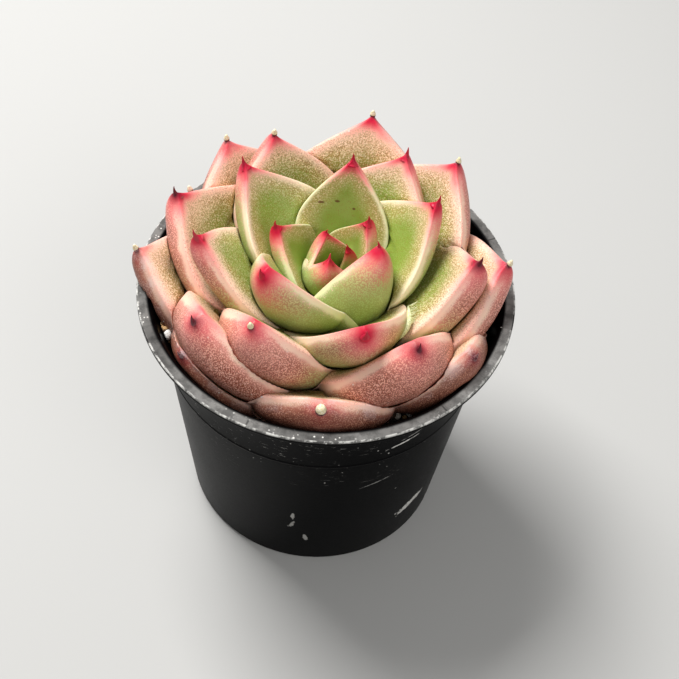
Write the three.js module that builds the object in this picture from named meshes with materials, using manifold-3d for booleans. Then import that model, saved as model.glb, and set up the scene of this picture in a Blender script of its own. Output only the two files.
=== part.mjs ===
// Potted echeveria: a rosette of thick pointed leaves on a short stem, in a plain round nursery pot.
// Millimetres, +Z up. The origin is the middle of the pot's base, and the front of the plant is towards -Y.
import * as THREE from "three";
import { mergeVertices } from "three/addons/utils/BufferGeometryUtils.js";
import Module from "manifold-3d";

// Driving dimensions
const GAP = 0.3; // clearance between neighbouring pieces
const POT = {
  height: 65.7,
  rim: 40, // outer radius of the flat rim
  mouth: 37.4, // inner radius of the rim
  rimThick: 1.5,
  base: 30, // outer radius at the bottom
  wall: 1.2,
  floor: 1.8,
  collar: 6.2, // height of the flared band below the rim
  collarFoot: 36.5, // outer radius of the band's lower edge
  ringDrop: 3.1, // a fine ring round the band, this far below the rim
  taper: 0.0955, // growth of the wall's radius per millimetre of height
  sides: 48,
};
const DRAIN = { holes: 6, ring: 17, radius: 3 };
const RIM_STEPS = { depth: 0.4, length: 5.4, turns: [205, 351] }; // two sunk lengths of the rim
const SOIL = { top: 56.8, bump: 0.7, sides: 28 };
const STEM = { foot: 42, soilRadius: 6.6, neck: 57, tip: 66.5 };
const PLANT = { x: 1, y: 1.3 }; // the rosette's axis, a little off the pot's axis
const DIVERGENCE = 137.5; // turn from each leaf to the next, in degrees
const FIRST_TURN = -12.5;
const LEAF = {
  rootTop: 66, // height of the youngest leaf's root
  rootDrop: 7.5, // how far down the stem the oldest root is
  rootWidth: 0.3, // share of the full width at the root
  thickest: 9.8,
  tipLength: 18.5, // from the widest place to the end of a large blade
  arc: 1.06, // a blade's length along its curve as a multiple of the straight distance
  upper: 0.2, // share of the thickness above the midrib surface
  pinch: { share: 0.4, length: 1.8 }, // the margins draw in towards the point
  sides: 10, // points round a section
};

// An undisturbed leaf by its order in the spiral: it reaches spread times the square root of the order, less
// in the closed heart, and outwards the ends sink and the blades widen and open.
const GROWTH = {
  spread: 8,
  heart: 3, // order over which the heart opens
  crown: 86, // height of the ends of the inner leaves
  bud: 8, // how much lower the youngest leaf ends
  sink: 0.02, // how much lower an end is, times the order squared
  width: 12, // of the youngest leaf
  widen: 1.35,
  widest: 34.5,
  rise: 76, // slope of the youngest blade at its end, in degrees
  open: 1, // degrees less for each leaf
};

// How each leaf departs from that, from the heart outwards: turn = degrees off the spiral, out = further
// from the axis, up = higher, wide = wider, steep = degrees steeper; and cup = how far the margins stand up
// (share of the half width). Some also have tip = length from the widest place to the end, thick =
// thickness, roll = twist in degrees, sway = how far the middle bends aside, hood = how far the point sits
// below the end's edge.
const low = { start: 0, arms: [0.36, 0.36], thick: 7.6 }; // the oldest leaves lie flat before they turn up
const hooded = { hood: 2, tip: 14, round: [2.2, 0.85] }; // a blunter end, bent in over its point
const front = { hood: 2, tip: 15, round: [2.3, 0.8], start: -6, arms: [0.4, 0.4], thick: 9 }; // by the rim
const twisted = { root: 61, start: 0, roll: -15, sway: -4, round: [2.3, 0.75] }; // leans across the heart
const LEAVES = [
  { turn: -4, out: 2.5, up: -1, wide: -9, steep: 22, cup: 0.45 },
  { turn: 5, out: 0.5, up: -2.5, steep: 10, cup: 0.4, sway: 1 },
  { turn: -4, out: -1, up: -4.5, wide: -2, steep: 28, cup: 0.25, thick: 5 },
  { turn: -5, out: -1, up: -3, wide: -2, steep: 3, cup: 0.3 },
  { turn: -4, out: 0.5, up: -4, wide: 1.5, steep: -4, cup: 0.2, thick: 4.5 },
  { ...twisted, turn: 13, out: -4.5, up: -1, wide: 3, steep: 15, cup: 0.5, thick: 6.5 },
  { turn: -11, out: -1, up: 1.5, steep: 4, cup: 0.2, tip: 16.5 },
  { ...hooded, turn: -1, up: 0.5, steep: 4, cup: 0.3, tip: 12.5, sway: 1.5 },
  { turn: 13, out: 0.5, up: -0.5, wide: 3.5, steep: -7, cup: 0.2, thick: 6, sway: -0.5 },
  { out: 1.5, wide: -1, steep: -9, cup: 0.4, sway: 0.5 },
  { ...hooded, turn: 2, out: 2, up: -1, steep: 6, cup: 0.25, tip: 16.5, thick: 7, roll: 6 },
  { turn: -3, out: -1, wide: 1.5, steep: -5, cup: 0.3 },
  { turn: -4, out: 1, up: 0.5, wide: -2.5, steep: -8, tip: 20, thick: 7.5, sway: 0.5 },
  { turn: 14, out: 1, up: -1.5, wide: -0.5, steep: -4, roll: -2 },
  { turn: 8, out: -1, up: 0.5, wide: -4.5, steep: 10, tip: 17 },
  { ...hooded, turn: -10, out: -2.5, up: -1, wide: -6.5, steep: 11, hood: 1.5 },
  { turn: 14, out: 1, up: 0.5, wide: 0.5, steep: -1, cup: 0.3 },
  { out: 2, up: -1.5, steep: 2, cup: 0.2 },
  { ...hooded, turn: 1, out: -4, up: -1, wide: -5, steep: 21, sway: -0.5 },
  { up: 2.5, steep: 5, cup: 0.25 },
  { ...hooded, turn: 4, out: -3, wide: -2.5, steep: 19, hood: 2.5, sway: 1 },
  { turn: 3, out: -1, up: -1, steep: -4, tip: 15.5 },
  { out: -0.5, up: 1, steep: 4, cup: 0.1 },
  { ...front, turn: -0.5, out: -4, up: -5.5, wide: -5, steep: 19, tip: 11.5 },
  { ...low, out: -5, up: -5, wide: -6, steep: 4, cup: 0.1 },
  { turn: -2, out: 0.5, up: -0.5, wide: -1, steep: -2, tip: 20 },
  { ...front, turn: 1, out: -6, up: -1, wide: -6, steep: 20, sway: -1 },
  { ...low, out: -8, up: -2.5, wide: -6, steep: 7, cup: 0.1 },
  { ...front, turn: -18, out: -6.5, up: -2.5, wide: -3.5, steep: 12, roll: -3, sway: 1.5 },
  { ...low, out: -11, up: -2, wide: -7, steep: 3, cup: 0.1 },
  { turn: 2, out: -9, up: 5.5, wide: -4.5, steep: 3, cup: 0.1 },
  { ...low, turn: -2, out: -17, up: -2.5, wide: -10, cup: 0.1 },
];

const wasm = await Module();
wasm.setup();

// A closed three.js geometry as a solid that can be cut and joined.
function solid(geometry) {
  const bare = geometry.clone();
  bare.deleteAttribute("normal");
  bare.deleteAttribute("uv");
  const merged = mergeVertices(bare, 1e-4);
  const p = merged.attributes.position.array;
  const tri = [];
  for (let i = 0; i < merged.index.count; i += 3) {
    const [a, b, c] = [0, 1, 2].map((j) => merged.index.getX(i + j));
    if (a !== b && b !== c && c !== a) tri.push(a, b, c);
  }
  return new wasm.Manifold(
    new wasm.Mesh({ numProp: 3, vertProperties: new Float32Array(p), triVerts: new Uint32Array(tri) }),
  );
}

// A solid back as a flat-shaded three.js geometry.
function shape(body) {
  const mesh = body.getMesh();
  const flat = new THREE.BufferGeometry();
  flat.setAttribute("position", new THREE.BufferAttribute(new Float32Array(mesh.vertProperties), 3));
  flat.setIndex(new THREE.BufferAttribute(new Uint32Array(mesh.triVerts), 1));
  const out = flat.toNonIndexed();
  out.computeVertexNormals();
  return out;
}

// The largest body of a solid, so that no loose scrap of a cut is left.
function largest(body) {
  return body.decompose().reduce((best, one) => (one.volume() > best.volume() ? one : best));
}

// A closed skin over a row of rings with equal numbers of points, with a flat cap at each end.
function skin(rings) {
  const n = rings[0].length;
  const points = rings.flat();
  const middle = (ring) => ring.reduce((s, p) => s.add(p), new THREE.Vector3()).divideScalar(n);
  points.push(middle(rings[0]), middle(rings.at(-1)));
  const index = [];
  for (let i = 0; i + 1 < rings.length; i++)
    for (let j = 0; j < n; j++) {
      const [a, b] = [i * n + j, i * n + ((j + 1) % n)];
      index.push(a, b, b + n, a, b + n, a + n);
    }
  const last = (rings.length - 1) * n;
  for (let j = 0; j < n; j++) {
    index.push(rings.length * n, (j + 1) % n, j);
    index.push(rings.length * n + 1, last + j, last + ((j + 1) % n));
  }
  const g = new THREE.BufferGeometry().setFromPoints(points);
  g.setIndex(index);
  return g;
}

function lathe(profile, sides) {
  const g = new THREE.LatheGeometry(profile.map(([r, z]) => new THREE.Vector2(r, z)), sides);
  return g.rotateX(Math.PI / 2);
}

// Leaf
const rad = THREE.MathUtils.degToRad;
const smooth = (a) => Math.sin(0.5 * Math.PI * Math.min(1, Math.max(0, a)));

// Where the stem's surface is at a height.
function stemRadius(z) {
  if (z <= STEM.neck) return STEM.soilRadius;
  const u = Math.min(1, (z - STEM.neck) / (STEM.tip - STEM.neck));
  return STEM.soilRadius * (1 - u ** 1.3) + 0.01;
}

// A leaf's own sizes: the rule's for its order, and its departures from it.
function leafSizes(order) {
  const { turn = 0, out = 0, up = 0, wide = 0, steep = 0, cup = 0, ...own } = LEAVES[order];
  const closed = Math.exp(-order / GROWTH.heart);
  return {
    ...own, turn, cup,
    reach: GROWTH.spread * Math.sqrt(order) * (1 - closed) + out,
    height: GROWTH.crown - GROWTH.sink * order ** 2 - GROWTH.bud * closed + up,
    width: Math.min(GROWTH.widest, GROWTH.width + GROWTH.widen * order) + wide,
    rise: GROWTH.rise - GROWTH.open * order + steep,
  };
}

// Everything about a leaf that follows from its place in the spiral.
function leafPlan(order) {
  const leaf = leafSizes(order);
  const age = order / 30;
  const root = leaf.root ?? LEAF.rootTop - LEAF.rootDrop * age ** 0.6;
  const foot = [Math.max(0.3, stemRadius(root) - 1.2), root];
  const end = [leaf.reach, leaf.height];
  const chord = Math.hypot(end[0] - foot[0], end[1] - foot[1]);
  const chordSlope = Math.atan2(end[1] - foot[1], end[0] - foot[0]);
  const rise = rad(leaf.rise);
  const level = leaf.start === undefined ? Math.max(rad(-12), 2 * chordSlope - rise) : rad(leaf.start);
  const hood = leaf.hood ?? 0.3;
  const [armIn, armOut] = leaf.arms ?? (hood > 1 ? [0.3, 0.56] : [0.36, 0.46]);
  const from = ([r, z], far, slope) =>
    new THREE.Vector2(r + far * Math.cos(slope), z + far * Math.sin(slope));
  return {
    ...leaf, foot, end, hood, rise,
    azimuth: rad(FIRST_TURN + DIVERGENCE * order + leaf.turn),
    widest: Math.max(0.33, 1 - (leaf.tip ?? LEAF.tipLength) / chord / LEAF.arc),
    round: leaf.round ?? [2.1, 1],
    thick: leaf.thick ?? Math.min(LEAF.thickest, 3.2 + 0.5 * order) * (hood > 1 ? 1.18 : 1),
    point: 0.7 + 0.7 * Math.min(1, order / 8),
    chord,
    pinch: hood > 1 ? 0 : LEAF.pinch.share,
    midrib: new THREE.CubicBezierCurve(
      new THREE.Vector2(...foot),
      from(foot, armIn * chord, level),
      from(end, -armOut * chord, rise),
      new THREE.Vector2(...end),
    ),
  };
}

// Half width of the blade as a share of the largest, from the root (0) to the end (1).
function outline(t, { widest, round, chord, pinch }) {
  if (t < widest) return LEAF.rootWidth + (1 - LEAF.rootWidth) * smooth(t / widest) ** 1.25;
  const drawn = 1 - pinch * Math.exp((-(1 - t) * chord * LEAF.arc) / LEAF.pinch.length);
  return drawn * (1 - ((t - widest) / (1 - widest)) ** round[0]) ** round[1];
}

// A thick lens section swept along the midrib, closed by a short sharp point. grow makes a larger copy.
function leafSolid(order, grow = 0) {
  const leaf = leafPlan(order);
  const out = new THREE.Vector3(Math.cos(leaf.azimuth), Math.sin(leaf.azimuth), 0);
  const side = new THREE.Vector3(-Math.sin(leaf.azimuth), Math.cos(leaf.azimuth), 0);
  const up = new THREE.Vector3(0, 0, 1);
  const rings = [];
  function ring(at, slope, half, thick, upper, cup, sink, twist = 0, sway = 0) {
    const normal = out.clone().multiplyScalar(-Math.sin(slope)).addScaledVector(up, Math.cos(slope));
    const axis = new THREE.Vector3(PLANT.x, PLANT.y, 0);
    const centre = axis.addScaledVector(out, at.x).addScaledVector(up, at.y);
    const h = half + grow, t = thick + 2 * grow, points = [];
    for (let j = 0; j < LEAF.sides; j++) {
      const a = (2 * Math.PI * j) / LEAF.sides;
      const c = Math.sign(Math.cos(a)) * Math.abs(Math.cos(a)) ** 0.85, s = Math.sin(a);
      const lens = s > 0 ? upper * t * s ** 0.55 : -(1 - upper) * t * Math.abs(s) ** 0.75;
      const across = h * c, lift = lens + cup * h * c * c - sink;
      const aside = across * Math.cos(twist) - lift * Math.sin(twist) + sway;
      const over = across * Math.sin(twist) + lift * Math.cos(twist);
      points.push(centre.clone().addScaledVector(side, aside).addScaledVector(normal, over));
    }
    rings.push(points);
  }
  const least = Math.min(1, leaf.thick / 5);
  for (const t of [0, 0.15, 0.3, 0.44, 0.57, 0.68, 0.78, 0.87, 0.94, 0.985]) {
    const tangent = leaf.midrib.getTangent(t);
    const half = Math.max(0.7 * least, 0.5 * leaf.width * outline(t, leaf));
    const body = (0.24 + 0.76 * smooth(t / 0.58) ** 1.6) * Math.sqrt(1 - t ** 6);
    const cup = leaf.cup * (0.3 + 0.7 * Math.sin(Math.PI * (0.75 * t + 0.12)));
    const slope = Math.atan2(tangent.y, tangent.x);
    const twist = rad(leaf.roll ?? 0) * smooth(t / 0.6);
    const sway = (leaf.sway ?? 0) * Math.sin(Math.PI * t);
    const thick = Math.max(0.9 * least, leaf.thick * body);
    ring(leaf.midrib.getPoint(t), slope, half, thick, LEAF.upper, cup, 0, twist, sway);
  }
  for (const [along, radius] of [[0.35, 0.5], [1, 0.1]]) {
    const slope = leaf.rise + rad(15) * along;
    const far = (leaf.point + grow) * along;
    const at = new THREE.Vector2(leaf.end[0] + far * Math.cos(slope), leaf.end[1] + far * Math.sin(slope));
    ring(at, slope, radius * least, 2 * radius * least, 0.5, 0, leaf.hood);
  }
  return solid(skin(rings));
}

// Stem
function stemSolid(grow = 0) {
  const profile = [[0, STEM.foot - grow], [2.2 + grow, STEM.foot - grow], [4.6 + grow, STEM.foot + 5]];
  profile.push([STEM.soilRadius + grow, STEM.neck - 6]);
  for (const u of [0, 0.3, 0.55, 0.75, 0.9])
    profile.push([
      stemRadius(STEM.neck + u * (STEM.tip - STEM.neck)) + grow,
      STEM.neck + u * (STEM.tip - STEM.neck) + grow * u,
    ]);
  profile.push([0, STEM.tip + grow]);
  return solid(lathe(profile, 20).translate(PLANT.x, PLANT.y, 0));
}

// Pot
const wallRadius = (z) => POT.base + POT.taper * z;

function potSolid() {
  const top = POT.height;
  const foot = top - POT.collar;
  const lip = top - POT.rimThick;
  const neckR = POT.mouth + POT.wall * 0.75;
  const ringR = (drop) => neckR + ((POT.collarFoot - neckR) * drop) / POT.collar;
  const body = solid(
    lathe(
      [
        [0, 0], [POT.base - 0.8, 0], [POT.base, 0.8], [wallRadius(foot - 0.5), foot - 0.5],
        [POT.collarFoot, foot], [ringR(POT.ringDrop) - 0.02, top - POT.ringDrop - 0.15],
        [ringR(POT.ringDrop) + 0.18, top - POT.ringDrop], [neckR, lip], [POT.rim - 0.3, lip],
        [POT.rim, lip + 0.3], [POT.rim, top - 0.25], [POT.rim - 0.25, top], [POT.mouth, top],
        [POT.mouth - 0.4, top - 0.6], [wallRadius(foot) - POT.wall, foot - 1.4],
        [POT.base - POT.wall, POT.floor], [0, POT.floor],
      ],
      POT.sides,
    ),
  );
  let cut = body;
  for (let i = 0; i < DRAIN.holes; i++) {
    const a = (2 * Math.PI * i) / DRAIN.holes;
    const hole = new THREE.CylinderGeometry(DRAIN.radius, DRAIN.radius, 8, 16).rotateX(Math.PI / 2);
    hole.translate(DRAIN.ring * Math.cos(a), DRAIN.ring * Math.sin(a), 1);
    cut = cut.subtract(solid(hole));
  }
  for (const turn of RIM_STEPS.turns) {
    const slot = new THREE.BoxGeometry(8, RIM_STEPS.length, 2 * RIM_STEPS.depth);
    slot.translate(POT.rim, 0, top).rotateZ(rad(turn));
    cut = cut.subtract(solid(slot));
  }
  return cut;
}

// The space that the pot's upper wall takes up, with the clearance round it.
function potRoomSolid() {
  const foot = POT.height - POT.collar, top = POT.height + GAP;
  return solid(
    lathe(
      [
        [POT.rim + 3, top], [POT.mouth - GAP, top], [POT.mouth - GAP - 0.4, top - 0.9],
        [wallRadius(foot) - POT.wall - GAP, foot - 1.4], [POT.base - POT.wall - GAP, POT.floor],
        [POT.base - POT.wall - GAP, -1], [POT.rim + 3, -1], [POT.rim + 3, top],
      ],
      POT.sides,
    ),
  );
}

// A settled fill with a lumpy top, the sum of a few waves, and plain hollows where stem and leaves sit.
function soilTop(r, a) {
  const x = r * Math.cos(a), y = r * Math.sin(a);
  const lumps = Math.sin(0.9 * x + 1.3) * Math.cos(0.7 * y) + 0.6 * Math.sin(0.5 * x - 1.1 * y + 2.1);
  return SOIL.top + SOIL.bump * lumps * 0.6;
}

function soilSolid() {
  const inner = (z) => wallRadius(z) - POT.wall - GAP - 0.1;
  const around = (f) =>
    Array.from({ length: SOIL.sides }, (_, j) => {
      const a = (2 * Math.PI * j) / SOIL.sides;
      const [r, z] = f(a);
      return new THREE.Vector3(r * Math.cos(a), r * Math.sin(a), z);
    });
  const bottom = POT.floor + GAP;
  const rings = [around(() => [inner(bottom) * 0.5, bottom]), around(() => [inner(bottom), bottom])];
  for (const share of [1, 0.88, 0.7, 0.5, 0.25])
    rings.push(around((a) => {
      const r = inner(SOIL.top) * share;
      return [r, soilTop(r, a)];
    }));
  return solid(skin(rings));
}

// The assembled plant
const plant = new THREE.Group();
plant.name = "potted_echeveria";

function add(name, body, colour, roughness) {
  const finish = { color: colour, roughness, metalness: 0, flatShading: true };
  const mesh = new THREE.Mesh(shape(body), new THREE.MeshStandardMaterial(finish));
  mesh.name = name;
  plant.add(mesh);
}

const stem = stemSolid();
const stemRoom = stemSolid(GAP);
const potRoom = potRoomSolid();
const rooms = []; // each leaf with its clearance, so that older leaves are hollowed where younger ones press
const green = new THREE.Color(0x9db86a), rose = new THREE.Color(0xa86a58);
for (let order = 0; order < LEAVES.length; order++) {
  let blade = leafSolid(order).subtract(stemRoom).subtract(potRoom);
  for (const room of rooms) blade = blade.subtract(room);
  blade = largest(blade);
  rooms.push(leafSolid(order, GAP));
  const tone = green.clone().lerp(rose, Math.min(1, (order / 30) ** 1.5));
  add(`leaf_${String(order + 1).padStart(2, "0")}`, blade, tone, 0.55);
}
add("stem", stem, 0x7f8a52, 0.8);

let soil = soilSolid().subtract(stemRoom);
for (const room of rooms.slice(12)) soil = soil.subtract(room);
add("soil", largest(soil), 0x2b221b, 1);
add("pot", potSolid(), 0x17181a, 0.45);

export default plant;
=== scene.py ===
"""A potted echeveria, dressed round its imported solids: leaves, stem, soil and a black nursery pot.

The file is laid out as an add-on: property groups hold the sizes and colours, one operator makes each
group of pieces, and a panel lists them. Shapes are worked out in millimetres and stored in metres, +Z up.
"""

import math
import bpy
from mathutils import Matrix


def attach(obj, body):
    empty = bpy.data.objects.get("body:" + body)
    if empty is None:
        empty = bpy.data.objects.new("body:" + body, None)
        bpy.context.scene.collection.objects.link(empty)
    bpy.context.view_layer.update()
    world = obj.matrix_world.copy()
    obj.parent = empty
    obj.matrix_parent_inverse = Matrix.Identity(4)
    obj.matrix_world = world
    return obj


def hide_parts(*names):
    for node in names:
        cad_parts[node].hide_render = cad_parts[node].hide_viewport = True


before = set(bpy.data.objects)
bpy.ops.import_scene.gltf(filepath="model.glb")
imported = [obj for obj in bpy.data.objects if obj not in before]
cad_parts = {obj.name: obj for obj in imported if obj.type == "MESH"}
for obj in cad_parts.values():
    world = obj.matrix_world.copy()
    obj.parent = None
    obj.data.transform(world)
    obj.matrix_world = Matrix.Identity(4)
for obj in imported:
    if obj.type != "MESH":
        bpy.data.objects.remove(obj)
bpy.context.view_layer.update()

from types import SimpleNamespace

import bpy
import numpy as np
from bpy.props import FloatProperty, FloatVectorProperty, IntProperty, PointerProperty
from mathutils import Matrix, Vector

bl_info = {
    "name": "Potted Echeveria",
    "version": (1, 0, 0),
    "blender": (4, 5, 0),
    "location": "3D View > Sidebar > Echeveria",
    "description": "Makes a potted rosette succulent round its packed frame",
    "category": "Add Mesh",
}

MM = 0.001


def linear(red, green, blue):
    """A colour given as 0 to 255 display values, as the linear values that shaders use."""
    share = np.array([red, green, blue]) / 255
    low, high = share / 12.92, ((share + 0.055) / 1.055) ** 2.4
    return tuple(float(v) for v in np.where(share <= 0.04045, low, high))


# Settings
def length(name, description, default_mm):
    """A size, kept in metres."""
    default = default_mm * MM
    return FloatProperty(name=name, description=description, default=default, unit="LENGTH", precision=4)


def degrees(name, description, default):
    """An angle, given in degrees."""
    return FloatProperty(name=name, description=description, default=math.radians(default), subtype="ANGLE")


def colour(name, description, red, green, blue):
    """A colour, given as 0 to 255 display values."""
    return FloatVectorProperty(
        name=name, description=description, default=linear(red, green, blue), size=3, subtype="COLOR",
        min=0, max=1,
    )


class RosetteSettings(bpy.types.PropertyGroup):
    """Sizes that all leaves share."""

    centre_x: length("Centre X", "The rosette's axis, to the right of the pot's axis", 1)
    centre_y: length("Centre Y", "The rosette's axis, behind the pot's axis", 1.3)
    divergence: degrees("Divergence", "Turn from each leaf to the next", 137.5)
    first_turn: degrees("First turn", "Direction of the youngest leaf", -12.5)
    root_top: length("Root top", "Height of the youngest leaf's root", 66)
    root_drop: length("Root drop", "How far down the stem the oldest root is", 7.5)
    tip_length: length("Tip length", "From the widest place to the end of a large blade", 18.5)
    thickest: length("Thickest", "Largest thickness of a blade", 9.8)
    rows: IntProperty(name="Rows", description="Rings of points along a blade", default=76, min=12)
    sides: IntProperty(name="Sides", description="Points round a blade", default=52, min=10)


class LeafColours(bpy.types.PropertyGroup):
    """Colours of the leaves."""

    young_green: colour("Young green", "Face of the young leaves", 132, 158, 58)
    old_green: colour("Old green", "Face of the outer leaves", 124, 124, 48)
    pale_green: colour("Pale green", "Clouds on the young faces, and low on the undersides", 168, 184, 112)
    straw: colour("Straw", "Grainy skin between the green and the margin", 212, 196, 128)
    ochre: colour("Ochre", "Fine dark grain of the faces", 146, 106, 50)
    # Lime, cream and blush also colour the painted highlights of the undersides: a pale one along the crest
    # and a thin one along the margins.
    lime: colour("Lime", "Band beside the margins of the young leaves", 236, 238, 190)
    shade: colour("Shade", "Faces of the oldest leaves", 70, 56, 28)
    umber: colour("Umber", "Fine dark grain of the oldest undersides", 84, 42, 36)
    moss: colour("Moss", "Low on the undersides of the outer leaves", 182, 176, 128)
    hot: colour("Hot pink", "Wide flush round the points", 240, 104, 118)
    cream: colour("Cream", "Band beside the margins", 254, 228, 200)
    blush: colour("Blush", "Pink of the margins", 246, 164, 150)
    crimson: colour("Crimson", "Round the points", 212, 16, 58)
    maroon: colour("Maroon", "The points themselves", 96, 16, 34)
    russet: colour("Russet", "Fine dark grain of the undersides", 144, 72, 54)
    sand: colour("Sand", "Undersides of the young leaves", 238, 206, 158)
    rose: colour("Rose", "Undersides of the outer leaves", 232, 170, 146)
    plum: colour("Plum", "Undersides of the oldest leaves", 170, 110, 86)
    scar: colour("Scar", "Small healed marks", 92, 38, 22)
    dried: colour("Dried", "Dead ends of the points", 244, 234, 208)


class PotSettings(bpy.types.PropertyGroup):
    """Sizes of the pot and the soil."""

    height: length("Height", "Height of the rim's upper face", 65.7)
    rim: length("Rim", "Outer radius of the rim", 40)
    mouth: length("Mouth", "Inner radius of the rim", 37.4)
    rim_thick: length("Rim thickness", "Thickness of the flat rim", 1.5)
    base: length("Base", "Outer radius at the bottom", 30)
    wall: length("Wall", "Wall thickness", 1.2)
    floor: length("Floor", "Floor thickness", 1.8)
    collar: length("Collar", "Height of the flared band under the rim", 6.2)
    collar_foot: length("Collar foot", "Outer radius of the band's lower edge", 36.5)
    ring_drop: length("Ring drop", "Distance of the fine ring below the rim", 3.1)
    wall_ring: length("Wall ring", "Height of the fine ring on the wall", 48.2)
    taper: FloatProperty(name="Taper", description="Growth of the wall's radius with height", default=0.0955)
    drain_ring: length("Drain ring", "Radius of the circle of drain holes", 17)
    drain_radius: length("Drain radius", "Radius of a drain hole", 3)
    soil_top: length("Soil top", "Height of the soil", 56.8)
    black: colour("Black", "Plastic", 3, 3, 4)
    # Scuff is also the grey of the rim's painted reflection, darker at the front and lighter to the right.
    scuff: colour("Scuff", "Scuffed and dusty plastic", 168, 166, 162)
    soil: colour("Soil", "Damp potting mix", 58, 44, 34)
    sand: colour("Sand", "Beige granules", 206, 164, 112)
    perlite: colour("Perlite", "White granules", 236, 234, 228)


class StageSettings(bpy.types.PropertyGroup):
    """Floor, light and camera."""

    floor_colour: colour("Floor", "Plain pale floor", 190, 189, 186)
    lamp_power: FloatProperty(name="Lamp", description="Main soft light", default=6.8, unit="POWER")
    fill_power: FloatProperty(name="Fill", description="Light from the front", default=1.7, unit="POWER")
    sky: FloatProperty(name="Sky", description="Strength of the even light", default=0.26)
    lens: FloatProperty(name="Lens", description="Focal length for a 36 mm wide sensor", default=67.6)


# An undisturbed leaf by its order in the spiral, as in the part: it reaches spread times the square root
# of the order, less in the closed heart, and outwards the ends sink and the blades widen and open.
GROWTH = SimpleNamespace(
    spread=8, heart=3, crown=86, bud=8, sink=0.02, width=12, widen=1.35, widest=34.5, rise=76, open=1
)

# How each leaf departs from that, from the heart outwards: turn = degrees off the spiral, out = further
# from the axis, up = higher, wide = wider, steep = degrees steeper; and cup = how far the margins stand up.
# Some also have tip = length from the widest place to the end, round = the powers of the end's outline,
# thick = thickness, roll = twist in degrees, sway = how far the middle bends aside, hood = how far the point
# sits below the end's edge, and root, start and arms = the midrib's foot, first slope and the reach of its
# two handles. Millimetres and degrees.
LOW = dict(start=0, arms=(0.36, 0.36), thick=7.6)
HOODED = dict(hood=2, tip=14, round=(2.2, 0.85))
FRONT = dict(hood=2, tip=15, round=(2.3, 0.8), start=-6, arms=(0.4, 0.4), thick=9)
TWISTED = dict(root=61, start=0, roll=-15, sway=-4, round=(2.3, 0.75))
LEAVES = [
    dict(turn=-4, out=2.5, up=-1, wide=-9, steep=22, cup=0.45),
    dict(turn=5, out=0.5, up=-2.5, steep=10, cup=0.4, sway=1),
    dict(turn=-4, out=-1, up=-4.5, wide=-2, steep=28, cup=0.25, thick=5),
    dict(turn=-5, out=-1, up=-3, wide=-2, steep=3, cup=0.3),
    dict(turn=-4, out=0.5, up=-4, wide=1.5, steep=-4, cup=0.2, thick=4.5),
    dict(TWISTED, turn=13, out=-4.5, up=-1, wide=3, steep=15, cup=0.5, thick=6.5),
    dict(turn=-11, out=-1, up=1.5, steep=4, cup=0.2, tip=16.5),
    dict(HOODED, turn=-1, up=0.5, steep=4, cup=0.3, tip=12.5, sway=1.5),
    dict(turn=13, out=0.5, up=-0.5, wide=3.5, steep=-7, cup=0.2, thick=6, sway=-0.5),
    dict(out=1.5, wide=-1, steep=-9, cup=0.4, sway=0.5),
    dict(HOODED, turn=2, out=2, up=-1, steep=6, cup=0.25, tip=16.5, thick=7, roll=6),
    dict(turn=-3, out=-1, wide=1.5, steep=-5, cup=0.3),
    dict(turn=-4, out=1, up=0.5, wide=-2.5, steep=-8, tip=20, thick=7.5, sway=0.5),
    dict(turn=14, out=1, up=-1.5, wide=-0.5, steep=-4, roll=-2),
    dict(turn=8, out=-1, up=0.5, wide=-4.5, steep=10, tip=17),
    dict(HOODED, turn=-10, out=-2.5, up=-1, wide=-6.5, steep=11, hood=1.5),
    dict(turn=14, out=1, up=0.5, wide=0.5, steep=-1, cup=0.3),
    dict(out=2, up=-1.5, steep=2, cup=0.2),
    dict(HOODED, turn=1, out=-4, up=-1, wide=-5, steep=21, sway=-0.5),
    dict(up=2.5, steep=5, cup=0.25),
    dict(HOODED, turn=4, out=-3, wide=-2.5, steep=19, hood=2.5, sway=1),
    dict(turn=3, out=-1, up=-1, steep=-4, tip=15.5),
    dict(out=-0.5, up=1, steep=4, cup=0.1),
    dict(FRONT, turn=-0.5, out=-4, up=-5.5, wide=-5, steep=19, tip=11.5),
    dict(LOW, out=-5, up=-5, wide=-6, steep=4, cup=0.1),
    dict(turn=-2, out=0.5, up=-0.5, wide=-1, steep=-2, tip=20),
    dict(FRONT, turn=1, out=-6, up=-1, wide=-6, steep=20, sway=-1),
    dict(LOW, out=-8, up=-2.5, wide=-6, steep=7, cup=0.1),
    dict(FRONT, turn=-18, out=-6.5, up=-2.5, wide=-3.5, steep=12, roll=-3, sway=1.5),
    dict(LOW, out=-11, up=-2, wide=-7, steep=3, cup=0.1),
    dict(turn=2, out=-9, up=5.5, wide=-4.5, steep=3, cup=0.1),
    dict(LOW, turn=-2, out=-17, up=-2.5, wide=-10, cup=0.1),
]
DRIED_POINTS = {14, 15, 16, 19, 21, 22, 23, 25, 30}  # leaves whose point has dried white
DARK_POINTS = {13, 17, 18, 20, 26, 28}  # leaves whose point is maroon
STUB_POINT = 23  # the leaf whose point is a thick stub
ARC = 1.06  # a blade's length over its chord

# The lens across a blade: powers of its outline, and the shares of its thickness above and below.
LENS = SimpleNamespace(side=0.85, above=0.55, below=0.75, face=0.2, back=0.8)

# The stem's lower end, its radius, and where it starts to narrow and ends.
STEM = SimpleNamespace(foot=42, radius=6.6, neck=57, tip=66.5)

# Small scars on the leaves: the middle, half the length from left to right, and half the width.
SCAR_HALF = 0.3
LEAF_MARKS = [
    dict(x=-2.6, y=12.9, z=76.9, long=0.8),
    dict(x=0.8, y=13.1, z=77.3, long=0.6),
    dict(x=4.4, y=12.1, z=76.4, long=0.4),
    dict(x=-18.6, y=3.8, z=73.8, long=0.5),
]

# The fringe beside the eleventh leaf: both ends of its line, how far the line bows, and how many teeth.
FRINGE = SimpleNamespace(first=(15.2, -17.4, 70.9), last=(16.7, -9.8, 72.3), bow=(0.9, -0.2, 0.3), teeth=8)

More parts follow.
